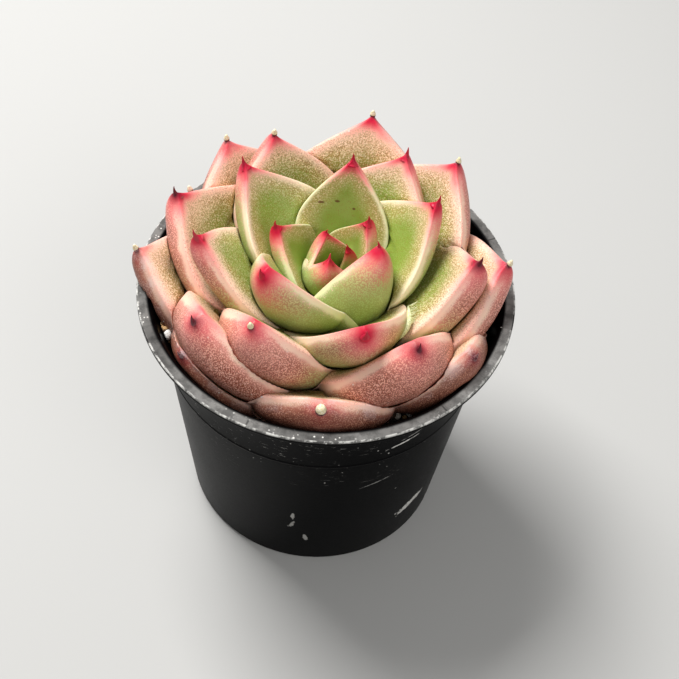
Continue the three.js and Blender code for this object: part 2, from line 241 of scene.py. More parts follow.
# Grains strewn on the soil, a heap of sand to the left, and white perlite on the heap and on the right.
STREWN_GRAINS = 1500
SAND_HEAP = SimpleNamespace(x=-33, y=-12, high=5.6, wide=6.4, grains=110)
SOIL_PEARLS = [dict(x=-32, y=-13.8, z=61.6, radius=1), dict(x=34.4, y=-4.6, z=60.8, radius=0.75)]

# Marks on the pot's wall: turn round the pot and height of the middle, length, width, tilt and whiteness.
POT_MARKS = [
    dict(turn=-58.5, height=52.8, long=6.5, wide=0.6, tilt=12, white=0.9),
    dict(turn=-56, height=54.6, long=4.5, wide=0.3, tilt=14, white=0.5),
    dict(turn=-66, height=37.5, long=7, wide=0.35, tilt=17, white=0.4),
    dict(turn=-43, height=14.5, long=8, wide=3.4, tilt=24, white=0.85),
    dict(turn=-96.5, height=22.8, long=0.9, wide=3.2, tilt=0, white=0.5),
    dict(turn=-97, height=18.4, long=1.0, wide=3.4, tilt=-20, white=0.45),
    dict(turn=-91, height=12, long=1.0, wide=2.8, tilt=10, white=0.45),
    dict(turn=64, height=44, long=8, wide=0.35, tilt=-15, white=0.4),
    dict(turn=140, height=30, long=1.2, wide=3.0, tilt=8, white=0.35),
]

# Places on the rim in degrees round the pot: its seams, the middle of its front, where its painted reflection
# is weakest, and the middles of its sunk stretches; and half the length and the depth of those in
# millimetres.
RIM = SimpleNamespace(seams=(-110, -50, 25, 118), front=-91, dips=(205, 351), dip_half=2.7, dip_deep=0.4)

# The photo's view: the camera's place in metres, and its directions. Lamps: middle in millimetres and size.
CAMERA = SimpleNamespace(
    place=(0, -0.174564, 0.271464),
    right=(0.99692, 0.05309, 0.05767), up=(-0.07731, 0.78780, 0.61107), ahead=(0.01299, 0.61364, -0.78948),
)
KEY = SimpleNamespace(name="soft_key", middle=(-260, 260, 620), size=320)
FILL = SimpleNamespace(name="soft_fill", middle=(330, -430, 460), size=500)


# Shader expressions
def operation(kind, swapped=False):
    """A method that adds a Math node of a kind, with the other number first where swapped."""

    def method(self, other=0):
        return self.tree.math(kind, *((other, self) if swapped else (self, other)))

    return method


class Number:
    """A number given by a socket. Arithmetic on it adds Math nodes to its tree."""

    def __init__(self, tree, socket):
        self.tree, self.socket = tree, socket

    __add__ = __radd__ = operation("ADD")
    __mul__ = __rmul__ = operation("MULTIPLY")
    __sub__, __rsub__ = operation("SUBTRACT"), operation("SUBTRACT", swapped=True)
    __truediv__, __pow__ = operation("DIVIDE"), operation("POWER")
    at_least, at_most, absolute = operation("MAXIMUM"), operation("MINIMUM"), operation("ABSOLUTE")

    def step(self, low, high):
        """A smooth step from 0 at low to 1 at high; low may be the larger."""
        if low > high:
            return 1 - self.step(high, low)
        sockets = {"Value": self, "From Min": low, "From Max": high}
        node = self.tree.add("ShaderNodeMapRange", {"interpolation_type": "SMOOTHSTEP"}, sockets)
        return Number(self.tree, node.outputs["Result"])


class Material:
    """A node material under construction."""

    def __init__(self, name):
        self.made = bpy.data.materials.new(name)
        self.made.use_nodes = True
        self.tree = self.made.node_tree
        self.tree.nodes.clear()

    def add(self, kind, settings=None, sockets=None):
        """Adds a node of a kind, with its settings first and then the values or links of its sockets."""
        node = self.tree.nodes.new(kind)
        for name, value in (settings or {}).items():
            setattr(node, name, value)
        for name, value in (sockets or {}).items():
            socket = next(s for s in node.inputs if name in (s.identifier, s.name))
            if isinstance(value, Number):
                value = value.socket
            if isinstance(value, bpy.types.NodeSocket):
                self.tree.links.new(value, socket)
            elif socket.type == "RGBA":
                socket.default_value = (*value, 1)
            else:
                socket.default_value = value
        return node

    def math(self, kind, first, second):
        """A number worked out by one Math node."""
        node = self.add("ShaderNodeMath", {"operation": kind}, {"Value": first, "Value_001": second})
        return Number(self, node.outputs[0])

    def place(self):
        """The Object coordinates."""
        return self.add("ShaderNodeTexCoord").outputs["Object"]

    def attribute(self, name):
        """A number stored on the mesh's points."""
        return Number(self, self.add("ShaderNodeAttribute", {"attribute_name": name}).outputs["Fac"])

    def axes(self, vector):
        """The three numbers of a vector, in millimetres."""
        node = self.add("ShaderNodeSeparateXYZ", None, {"Vector": vector})
        return [Number(self, node.outputs[i]) * (1 / MM) for i in range(3)]

    def moved(self, vector, offset=(0, 0, 0), scale=(1, 1, 1)):
        """A vector stretched, then moved."""
        node = self.add("ShaderNodeMapping", None, {"Vector": vector, "Location": offset, "Scale": scale})
        return node.outputs["Vector"]

    def noise(self, vector, size_mm, detail=2.0, rough=0.5):
        """Noise from 0 to 1 whose features are about size_mm wide."""
        sockets = {"Vector": vector, "Scale": 1 / (size_mm * MM), "Detail": detail, "Roughness": rough}
        return Number(self, self.add("ShaderNodeTexNoise", None, sockets).outputs[0])

    def cells(self, vector, size_mm):
        """Distance to the nearest of scattered points size_mm apart, and that point's own random number."""
        node = self.add("ShaderNodeTexVoronoi", None, {"Vector": vector, "Scale": 1 / (size_mm * MM)})
        tone = self.add("ShaderNodeSeparateColor", None, {"Color": node.outputs["Color"]})
        return Number(self, node.outputs["Distance"]), Number(self, tone.outputs[0])

    def mix(self, share, first, second):
        """The first colour where share is 0 and the second where it is 1."""
        sockets = {"Factor_Float": share, "A_Color": first, "B_Color": second}
        node = self.add("ShaderNodeMix", {"data_type": "RGBA"}, sockets)
        return next(s for s in node.outputs if s.identifier == "Result_Color")

    def bump(self, height, depth_mm, strength=1.0):
        """A bump of a height from 0 to 1 that is depth_mm deep."""
        sockets = {"Height": height, "Distance": depth_mm * MM, "Strength": strength}
        return self.add("ShaderNodeBump", None, sockets).outputs["Normal"]

    def finish(self, **sockets):
        """Closes the material with one Principled shader, whose sockets are named with _ for a space."""
        named = {name.replace("_", " "): value for name, value in sockets.items()}
        shader = self.add("ShaderNodeBsdfPrincipled", None, named)
        self.add("ShaderNodeOutputMaterial", None, {"Surface": shader.outputs[0]})
        return self.made


# Meshes
def make_object(name, points_mm, faces, material, attributes=None):
    """A smooth-shaded object at the origin, from points in millimetres and faces of three or four points."""
    mesh = bpy.data.meshes.new(name)
    mesh.from_pydata(np.asarray(points_mm, float) * MM, [], [tuple(int(i) for i in f) for f in faces])
    for key, values in (attributes or {}).items():
        layer = mesh.attributes.new(key, "FLOAT", "POINT")
        layer.data.foreach_set("value", np.asarray(values, np.float32))
    mesh.shade_smooth()
    mesh.materials.append(material)
    made = bpy.data.objects.new(name, mesh)
    bpy.context.scene.collection.objects.link(made)
    return made


def hand_over(made, slot, *nodes):
    """The piece rides on the part's one body and stands for CAD nodes; the slot is not used."""
    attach(made, "root")
    if nodes:
        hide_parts(*nodes)


def ring_faces(rows, sides, start):
    """Quads between neighbouring rings of a closed tube, plus a fan to a pole at each end.

    Points are numbered ring by ring from start; the first pole follows the last ring, then the last pole.
    """
    row, side = np.meshgrid(np.arange(rows - 1), np.arange(sides), indexing="ij")
    a = row * sides + side
    b = row * sides + (side + 1) % sides
    quads = np.stack([a, b, b + sides, a + sides], -1).reshape(-1, 4) + start
    j, k = np.arange(sides), (np.arange(sides) + 1) % sides
    pole, end = np.full(sides, rows * sides), (rows - 1) * sides
    first = np.stack([pole, k, j], -1) + start
    last = np.stack([pole + 1, end + j, end + k], -1) + start
    return [*quads.tolist(), *first.tolist(), *last.tolist()]


def tubes(parts):
    """Points and faces of closed tubes as one mesh. Each is an array of rings, and gets a pole in the middle
    of its first and of its last ring."""
    points, faces, start = [], [], 0
    for rings in parts:
        points.append(np.concatenate([rings.reshape(-1, 3), [rings[0].mean(0)], [rings[-1].mean(0)]]))
        faces += ring_faces(*rings.shape[:2], start)
        start += len(points[-1])
    return np.concatenate(points), faces


def turned(profile, sides):
    """A profile of radius and height carried round the upright axis: x = r cos a, y = r sin a."""
    angle = np.linspace(0, 2 * np.pi, sides, endpoint=False)
    radius, height = (column[:, None] for column in np.array(profile, float).T)
    return np.stack([radius * np.cos(angle), radius * np.sin(angle), height + 0 * angle], -1)


def rounded(profile, radius, steps):
    """A profile whose corners are cut back by radius and joined by parabolas.

    Each is (1 - s)^2 of one end, 2 s (1 - s) of the corner and s^2 of the other end.
    """
    p = np.array(profile, float)
    out = [p[0]]
    share = np.linspace(0, 1, steps + 1)[:, None]
    for before, corner, after in zip(p, p[1:], p[2:]):
        back, on = before - corner, after - corner
        reach = min(radius, 0.45 * np.hypot(*back), 0.45 * np.hypot(*on))
        a, b = corner + back / np.hypot(*back) * reach, corner + on / np.hypot(*on) * reach
        out.extend((1 - share) ** 2 * a + 2 * share * (1 - share) * corner + share**2 * b)
    out.append(p[-1])
    return np.array(out)


def smooth(share):
    """A quarter sine from 0 to 1, held at both ends."""
    return np.sin(0.5 * np.pi * np.clip(share, 0, 1))


def ripple(points, seed, wave_mm):
    """Soft unevenness from -1 to 1: the mean of five sine waves in seeded directions through the points."""
    draw = np.random.default_rng(seed)
    direction = draw.normal(size=(5, 3))
    wave = wave_mm * draw.uniform(0.7, 1.5, 5)
    direction *= (2 * np.pi / wave / np.linalg.norm(direction, axis=1))[:, None]
    return np.sin(points @ direction.T + draw.uniform(0, 2 * np.pi, 5)).mean(-1)


# Leaves
def stem_radius(height):
    """The stem's radius: full up to the neck, then falling to the tip as 1 - u^1.3."""
    if height <= STEM.neck:
        return STEM.radius
    return STEM.radius * (1 - min(1, (height - STEM.neck) / (STEM.tip - STEM.neck)) ** 1.3) + 0.01


def leaf_sizes(order):
    """A leaf's own sizes: the growth rule's for its order, and its departures from it.

    Reach is spread times the root of the order times (1 - exp(-order / heart)); height is the crown less sink
    times the order squared and less bud times that exponential.
    """
    own = dict(turn=0, out=0, up=0, wide=0, steep=0, cup=0) | LEAVES[order]
    closed = math.exp(-order / GROWTH.heart)
    return own | dict(
        reach=GROWTH.spread * math.sqrt(order) * (1 - closed) + own["out"],
        height=GROWTH.crown - GROWTH.sink * order**2 - GROWTH.bud * closed + own["up"],
        width=min(GROWTH.widest, GROWTH.width + GROWTH.widen * order) + own["wide"],
        rise=GROWTH.rise - GROWTH.open * order + own["steep"],
    )


def leaf_plan(order, rosette):
    """All that follows from a leaf's place in the spiral, in millimetres and radians."""
    row = leaf_sizes(order)
    root = row.get("root", (rosette.root_top - rosette.root_drop * (order / 30) ** 0.6) / MM)
    foot = np.array([max(0.3, stem_radius(root) - 1.2), root])
    end = np.array([row["reach"], row["height"]], float)
    chord = float(np.hypot(*(end - foot)))
    chord_slope = math.atan2(end[1] - foot[1], end[0] - foot[0])
    rise = math.radians(row["rise"])
    start = math.radians(row["start"]) if "start" in row else max(math.radians(-12), 2 * chord_slope - rise)
    hood = row.get("hood", 0.3)
    arm_in, arm_out = row.get("arms", (0.3, 0.56) if hood > 1 else (0.36, 0.46))
    azimuth = rosette.first_turn + rosette.divergence * order + math.radians(row["turn"])
    thick = row.get("thick", min(rosette.thickest / MM, 3.2 + 0.5 * order) * (1.18 if hood > 1 else 1))
    return SimpleNamespace(
        order=order, azimuth=azimuth, chord=chord, rise=rise, hood=hood, cup=row["cup"], width=row["width"],
        thick=thick, widest=max(0.33, 1 - row.get("tip", rosette.tip_length / MM) / chord / ARC),
        round=row.get("round", (2.1, 1.0)), point=0.7 + 0.7 * min(1, order / 8), end=end,
        pinch=0 if hood > 1 else 0.4, roll=math.radians(row.get("roll", 0)), sway=row.get("sway", 0),
        least=min(1, thick / 5),
        axis=np.array([rosette.centre_x, rosette.centre_y, 0]) / MM,
        out=np.array([math.cos(azimuth), math.sin(azimuth), 0]),
        side=np.array([-math.sin(azimuth), math.cos(azimuth), 0]),
        controls=np.array([
            foot,
            foot + arm_in * chord * np.array([math.cos(start), math.sin(start)]),
            end - arm_out * chord * np.array([math.cos(rise), math.sin(rise)]),
            end,
        ]),
    )


def midrib(plan, t):
    """Points and slopes of a cubic curve in the radius-height plane, from the root (0) to the end (1)."""
    p0, p1, p2, p3 = plan.controls
    t = t[:, None]
    place = (1 - t) ** 3 * p0 + 3 * (1 - t) ** 2 * t * p1 + 3 * (1 - t) * t**2 * p2 + t**3 * p3
    run = (1 - t) ** 2 * (p1 - p0) + 2 * (1 - t) * t * (p2 - p1) + t**2 * (p3 - p2)
    return place, np.arctan2(run[:, 1], run[:, 0])


def half_width(plan, t):
    """Half the blade's width: a quarter sine to the widest place, then a convex fall to nothing at the end.

    Close to the end it is pinched by a share of exp(-distance / 1.8), which draws the margins into the point.
    """
    rise = 0.3 + 0.7 * smooth(t / plan.widest) ** 1.25
    power, close = plan.round
    fall = (1 - np.clip((t - plan.widest) / (1 - plan.widest), 0, 1) ** power) ** close
    pinch = 1 - plan.pinch * np.exp(-(1 - t) * plan.chord * ARC / 1.8)
    return 0.5 * plan.width * np.where(t < plan.widest, rise, fall) * pinch


def blade_body(plan, t):
    """Thickness of the blade, full from past its middle to near its end, and how far its margins stand up."""
    body = (0.24 + 0.76 * smooth(t / 0.58) ** 1.6) * np.sqrt(1 - np.minimum(t, 0.9999) ** 6)
    return plan.thick * body, plan.cup * (0.3 + 0.7 * np.sin(np.pi * (0.75 * t + 0.12)))


def leaf_surface(plan, t, angle):
    """The blade's skin for shares t along it and angles round it, as an array of points.

    At each t a full lens stands across the midrib: sideways it is the half width times cos^0.85 of the angle,
    and its depth is 0.2 of the thickness above times sin^0.55, and 0.8 below times sin^0.75. Cup lifts it by
    the square of the sideways share, a shallow groove runs along the face and a soft keel along the
    underside. The lens is then rolled about the midrib and swayed aside by a half sine wave.
    """
    place, slope = midrib(plan, t)
    half = np.maximum(half_width(plan, t), 0.02)
    thick, cup = blade_body(plan, t)
    across = np.sign(np.cos(angle)) * np.abs(np.cos(angle)) ** LENS.side
    above, below = np.clip(np.sin(angle), 0, 1) ** LENS.above, np.clip(-np.sin(angle), 0, 1) ** LENS.below
    thick = thick[:, None]
    sideways = half[:, None] * across
    groove = np.exp(-((sideways / 1.4) ** 2)) * smooth((t[:, None] - 0.2) / 0.5)
    keel = np.exp(-((sideways / 2.2) ** 2))
    lift = LENS.face * thick * above - LENS.back * thick * below + cup[:, None] * half[:, None] * across**2
    lift = lift - 0.03 * thick * groove * above - 0.05 * thick * keel * below
    twist = plan.roll * smooth(t / 0.6)[:, None]
    sideways, lift = (
        sideways * np.cos(twist) - lift * np.sin(twist) + plan.sway * np.sin(np.pi * t)[:, None],
        sideways * np.sin(twist) + lift * np.cos(twist),
    )
    radius = place[:, :1] - np.sin(slope)[:, None] * lift
    height = place[:, 1:] + np.cos(slope)[:, None] * lift
    points = plan.axis + radius[..., None] * plan.out + sideways[..., None] * plan.side
    points[..., 2] += height
    return points


def upright(plan, slope):
    """The direction square to the midrib, in its own plane, for each slope."""
    sine, cosine = np.sin(slope), np.cos(slope)
    return np.stack([-sine * plan.out[0], -sine * plan.out[1], cosine], -1)


def press_under(points, under, plan):
    """Moves points that lie inside a younger blade out through its underside, as it presses on them.

    The nearest sample of the younger midrib gives a point's place along that blade, and the same lens as in
    leaf_surface gives the faces above and below it there. The clearance grows towards the middle of the lens,
    and the older blade's own underside goes further, so that it keeps some thickness.
    """
    t = np.linspace(0.04, 0.985, 56)
    place, slope = midrib(plan, t)
    from_axis = points - plan.axis
    radius, aside = from_axis @ plan.out, from_axis @ plan.side
    near = ((radius[:, None] - place[:, 0]) ** 2 + (points[:, 2:] - place[:, 1]) ** 2).argmin(1)
    t, slope = t[near], slope[near]
    off = np.stack([radius, points[:, 2]], -1) - place[near]
    lift = np.cos(slope) * off[:, 1] - np.sin(slope) * off[:, 0]
    twist = plan.roll * smooth(t / 0.6)
    aside = aside - plan.sway * np.sin(np.pi * t)
    across, lift = aside * np.cos(twist) + lift * np.sin(twist), lift * np.cos(twist) - aside * np.sin(twist)
    half = half_width(plan, t)
    share = np.clip(np.abs(across) / half, 0, 1)
    middle = np.sqrt(1 - share ** (2 / LENS.side))
    thick, cup = blade_body(plan, t)
    raised = cup * half * share**2
    lower = raised - LENS.back * thick * middle**LENS.below
    upper = raised + LENS.face * thick * middle**LENS.above
    clear = (0.3 + 0.7 * under) * smooth(middle / 0.3)
    inside = (share < 1) & (lift < upper) & (lift > lower - clear) & (t < 0.98)
    move = np.where(inside, lower - clear - lift, 0)
    turned_up = np.cos(twist)[:, None] * upright(plan, slope) - np.sin(twist)[:, None] * plan.side
    return points + move[:, None] * turned_up


def inside_pot(points, pot):
    """Moves points below the rim inwards to 0.3 mm from the pot's inner face."""
    top, foot = pot.height / MM, (pot.height - pot.collar) / MM
    wall, mouth = wall_radius(pot, foot) - pot.wall / MM, pot.mouth / MM
    heights = [0, foot - 1.4, top - 0.8, top + 0.3]
    room = np.interp(points[:, 2], heights, [pot.base / MM, wall, mouth - 0.4, mouth])
    share = np.minimum(1, (room - 0.3) / np.maximum(np.hypot(points[:, 0], points[:, 1]), 1))
    share = np.where(points[:, 2] < top + 0.3, share, 1)
    return points * np.stack([share, share, np.ones(len(points))], -1)


def point_axis(plan):
    """Foot and direction of the leaf's sharp point."""
    lean = plan.rise - (math.radians(14) if plan.hood > 1 else 0)
    end = plan.axis + plan.end[0] * plan.out + np.array([0, 0, plan.end[1]])
    return end - plan.hood * upright(plan, plan.rise), lean


def point_rings(plan, rows=12, sides=16):
    """Rings of the sharp point, and how far along it each is.

    It is a spine that bends up by 22 degrees, whose radius falls as (1 - u)^1.1 and flares at its foot. A
    dried point is a blunt stub that swells by a squared half sine instead, and one leaf has a thick stub.
    """
    foot, lean = point_axis(plan)
    u = np.linspace(0, 1, rows)
    dried = plan.order in DRIED_POINTS
    length = plan.point * (1.1 if dried else 1.45)
    reach = (length + 1.3) * u - 1.3
    slope = lean + math.radians(22) * u
    centre = foot + (reach * np.cos(slope))[:, None] * plan.out
    centre[:, 2] += reach * np.sin(slope)
    flare = np.exp(-4.5 * u)
    if plan.order == STUB_POINT:
        radius = 1.15 - 0.5 * u**4
    elif dried:
        radius = 0.26 + 0.36 * np.sin(np.pi * u**1.6) ** 2 + 0.5 * flare
    else:
        radius = plan.least * (0.07 + 0.56 * (1 - u) ** 1.1 + 0.55 * flare)
    angle = np.linspace(0, 2 * np.pi, sides, endpoint=False)
    ring = np.cos(angle)[:, None] * plan.side + np.sin(angle)[:, None] * upright(plan, slope)[:, None]
    return centre[:, None] + radius[:, None, None] * ring, reach


def margin_distance(rings):
    """Distance from each point to the nearer margin, measured round its ring, which starts at one margin."""
    step = np.linalg.norm(np.roll(rings, -1, 1) - rings, axis=-1)
    round_to = np.concatenate([np.zeros((len(rings), 1)), np.cumsum(step, 1)], 1)
    middle = rings.shape[1] // 2
    first, half, whole = round_to[:, :-1], round_to[:, middle:middle + 1], round_to[:, -1:]
    upper = np.minimum(first, half - first)
    lower = np.minimum(first - half, whole - first)
    return np.maximum(np.where(np.arange(rings.shape[1]) <= middle, upper, lower), 0)


def make_leaf(order, plans, rosette, pot, material):
    """One leaf: its blade and its point in one mesh, with the measures that the skin's colours follow."""
    plan = plans[order]
    t = 1 - (1 - np.linspace(0, 0.9985, rosette.rows)) ** 1.5
    turn = np.linspace(0, 2 * np.pi, rosette.sides, endpoint=False)
    angle = turn - 0.38 * np.sin(2 * turn)
    blade = leaf_surface(plan, t, angle)
    outwards = blade - blade.mean(1, keepdims=True)
    outwards /= np.linalg.norm(outwards, axis=-1, keepdims=True) + 1e-9
    uneven = 0.22 * plan.least * ripple(blade, 100 + order, 9) * (1 - t**3)[:, None]
    blade = blade + outwards * uneven[..., None]
    foot, lean = point_axis(plan)
    spine = math.cos(lean) * plan.out + np.array([0, 0, math.sin(lean)])
    near = np.exp(-((np.linalg.norm(blade - foot, axis=-1) / (1.6 * plan.least)) ** 2))
    blade = blade + 0.35 * plan.least * near[..., None] * spine
    edge = margin_distance(blade)
    under = 0.5 - 0.5 * np.sin(angle) + 0 * edge
    flat = blade.reshape(-1, 3)
    for younger in plans[:order]:
        flat = press_under(flat, under.ravel(), younger)
    blade = inside_pot(flat, pot).reshape(blade.shape)
    spike, reach = point_rings(plan)
    points, faces = tubes([blade, spike])
    spike_points = len(points) - edge.size - 2

    def joined(on_blade, on_spike):
        """A measure for all points: the blade's own with their mean at its poles, and one for the spike."""
        poles = [on_blade[0].mean(), on_blade[-1].mean()]
        return np.concatenate([on_blade.ravel(), poles, np.full(spike_points, on_spike)])

    away = np.linalg.norm(points - foot, axis=1)
    away[-spike_points:] = -np.append(np.repeat(reach, spike.shape[1]), reach[[0, -1]])
    constant = np.ones(len(points))
    attributes = {
        "edge_mm": joined(edge, 0),
        "under": joined(under, 1),
        "from_end_mm": joined((1 - t)[:, None] * plan.chord * ARC + 0 * edge, 0),
        "from_point_mm": away,
        "age": constant * order / 30,
        "size": constant * (0.1 + plan.width / 33),
        "dried_point": constant * (order in DRIED_POINTS),
        "dark_point": constant * (order in DARK_POINTS),
    }
    number = f"{order + 1:02d}"
    hand_over(make_object(f"blade_{number}", points, faces, material, attributes), "leaf", f"leaf_{number}")


def leaf_material(tones):
    """The leaves' skin, painted by the distances from the margin, the end and the point.

    Faces are green in the middle and turn through a grainy straw to cream and pink at the margin. Undersides
    are sandy to rose, with a net of russet grain, a pale painted highlight along the crest, a thin painted
    highlight along the margins and a greener foot. Freckles cover the outer leaves. Crimson runs from the
    point along the margins, and the oldest leaves have a waxy bloom.
    """
    m = Material("leaf_skin")
    place = m.place()
    size, age, under = m.attribute("size"), m.attribute("age"), m.attribute("under")
    away, dried, dark = m.attribute("from_point_mm"), m.attribute("dried_point"), m.attribute("dark_point")
    edge, end = m.attribute("edge_mm") / size, m.attribute("from_end_mm") / size
    cell, _ = m.cells(place, 0.31)
    grain = (m.noise(place, 0.24, 1.0, 0.5) - 0.5) * 1.1 + (0.45 - cell) * 0.5 + 0.5
    fine = m.noise(m.moved(place, (0.3, 0.1, 0.2)), 0.2, 1.0)
    cloud = m.noise(place, 8, 2.0)
    patch = m.noise(m.moved(place, (0.7, 0.2, 0.5)), 4, 3.0)
    edge = edge + (patch - 0.5) * 2.4
    end = end + (cloud - 0.5) * 7

    def dotted(share):
        """Grain that covers more of the skin as the share grows from 0 to 1."""
        return (grain + share * 0.24).step(0.58, 0.7)

    # the face
    green = m.mix(age.step(0.15, 0.8), tones.young_green, tones.old_green)
    green = m.mix(cloud.step(0.35, 0.7) * 0.3 * (1 - age.step(0.3, 0.6)), green, tones.pale_green)
    green = m.mix(age.step(0.62, 0.8) * 0.75, green, tones.shade)
    warm = (edge.step(9.5, 2) * (0.7 + 0.3 * age) + end.step(9, 1) * 0.35).at_most(1)
    face = m.mix(warm * 0.75, green, tones.straw)
    face = m.mix(dotted(warm) * (0.35 + 0.35 * age.step(0.1, 0.5)), face, tones.ochre)
    face = m.mix((1 - grain).step(0.58, 0.75) * warm * 0.7, face, tones.cream)
    band = edge / (age * 8 - 0.6).at_least(0.7).at_most(2.2)
    lime = m.mix(age.step(0.15, 0.35), tones.lime, tones.cream)
    face = m.mix(band.step(2.2, 0.3) * 0.92, face, lime)
    pink = band.step(1.7, 0.1) * (0.8 * age.step(0.25, 0.6)).at_least(0.8 * end.step(12, 3))
    face = m.mix(pink, face, tones.blush)
    outer = (end + (grain - 0.5) * 6).step(9, 2) * 0.5 * age.step(0.15, 0.4)
    face = m.mix(outer, face, m.mix(0.35, tones.cream, tones.blush))

    # the underside
    light = m.mix(age.step(0.22, 0.42), tones.sand, tones.rose)
    deep = m.mix(age.step(0.2, 0.5), tones.ochre, tones.russet)
    old = (age + (cloud - 0.5) * 0.1).step(0.7, 0.78)
    light = m.mix(end.step(11, 2) * 0.6 * age.step(0.3, 0.45), light, tones.blush)
    light = m.mix(end.step(7, 20) * 0.4 * age.step(0.35, 0.5), light, tones.russet)
    light, deep = m.mix(old, light, tones.plum), m.mix(old, deep, tones.umber)
    low = (end - (age - 0.2).at_least(0) * 19 + (grain - 0.5) * 8).step(0, 9) * (1 - 0.6 * old)
    light = m.mix(low, light, m.mix(age.step(0.4, 0.7), tones.pale_green, tones.moss))
    deep = m.mix(low * (1 - 0.7 * age.step(0.3, 0.5)), deep, tones.old_green)
    # Painted highlight: a pale line along the undersides' crest, beside the margin.
    crest_highlight = (edge + (grain - 0.5) * 4).step(2.3, 0.2)
    dots = (grain - end.step(5, 20) * 0.08).step(0.6, 0.42)
    net = dots * (0.74 + 0.2 * age.step(0.5, 0.7) - 0.3 * low) * (1 - 0.4 * crest_highlight)
    back = m.mix(net * end.step(-2, 5).at_least(0.3 + 0.4 * old), light, deep)
    pale = m.mix(age.step(0.2, 0.42), tones.cream, tones.blush)
    back = m.mix(crest_highlight * 0.45 * (1 - 0.75 * old), back, pale)
    # Painted highlight: a thin pale line along the undersides' margins.
    margin_highlight = edge.step(1.5, 0.3) * (0.85 - 0.4 * old)
    back = m.mix(margin_highlight, back, m.mix(age.step(0.2, 0.4), tones.lime, tones.cream))
    below = under.step(0.42, 0.58)
    tone = m.mix(below, face, back)

    # dark and pale freckles up to the margins of the outer leaves; the underside's are the face's reversed
    freckle = grain + (1 - grain * 2) * below
    outwards = age.step(0.2, 0.45) * (1 - 0.4 * below)
    tone = m.mix(freckle.step(0.54, 0.68) * outwards * 0.45, tone, m.mix(under, tones.ochre, tones.russet))
    tone = m.mix((1 - freckle).step(0.56, 0.7) * outwards * (0.35 - 0.2 * old), tone, tones.cream)

    # pink round the point and along the margins near it, crimson at it
    aside = edge.at_least(0).at_most(4) * (1 - under * 0.9) * 0.7
    reach = (away + (patch - 0.5) * 3) / (0.5 + 0.5 * size) + aside
    faded = under * age.step(0.3, 0.5)
    flare = reach + aside + (grain - 0.5) * 5
    flush = (flare + faded * 2.5).step(11, 3) * (0.75 - 0.35 * faded) * (1 - 0.85 * old)
    tone = m.mix(flush, tone, tones.hot)
    tone = m.mix((reach + faded * 1.6).step(5.8, 1.4) * (1 - 0.25 * faded - 0.45 * old), tone, tones.crimson)
    tone = m.mix(away.step(2.8, 0.4) * dark * 0.6, tone, tones.maroon)
    tone = m.mix(away.step(1.3, 0.1) * (0.35 + 0.65 * dark.at_least(dried)), tone, tones.maroon)
    crust = m.mix(grain.step(0.6, 0.4) * 0.6, tones.dried, tones.straw)
    tone = m.mix(dried * away.step(-0.35, -0.6), tone, crust)

    # pale waxy bloom on the oldest leaves, and light flakes
    bloom = (patch + (grain - 0.5) * 0.35).step(0.4, 0.66) * age.step(0.62, 0.8) * edge.step(3.6, 0.6)
    bloom = bloom * (0.17 + 0.2 * end.step(9, 3))
    tone = m.mix(bloom, tone, linear(232, 214, 212))
    flake, flake_tone = m.cells(place, 2.2)
    flake = flake.step(0.11, 0.07) * flake_tone.step(0.9, 0.92) * age.step(0.4, 0.7)
    tone = m.mix(flake * 0.8, tone, linear(240, 236, 226))
    x, y, z = m.axes(place)
    marks = 0
    for mark in LEAF_MARKS:
        parts = (x - mark["x"]) / mark["long"], (y - mark["y"]) / SCAR_HALF, (z - mark["z"]) / SCAR_HALF
        marks = sum(part * part for part in parts).step(1.2, 0.4) + marks
    tone = m.mix(marks * 0.8, tone, tones.scar)

    rough = 0.46 + (fine - 0.5) * 0.35 + bloom * 0.3
    normal = m.bump(grain * 0.6 + fine * 0.4, 0.05, 0.55)
    return m.finish(
        Base_Color=tone, Roughness=rough, Normal=normal, IOR=1.42,
        Subsurface_Weight=0.12, Subsurface_Radius=(1.0, 0.45, 0.25), Subsurface_Scale=0.0016,
    )


class ECHEVERIA_OT_leaves(bpy.types.Operator):
    """Make the thirty-two leaves"""

    bl_idname = "echeveria.leaves"
    bl_label = "Leaves"

    def execute(self, context):
        """Plans all leaves first, because each gives way to the younger ones."""
        rosette, skin = context.scene.echeveria_rosette, leaf_material(context.scene.echeveria_tones)
        plans = [leaf_plan(order, rosette) for order in range(len(LEAVES))]
        for order in range(len(LEAVES)):
            make_leaf(order, plans, rosette, context.scene.echeveria_pot, skin)
        return {"FINISHED"}


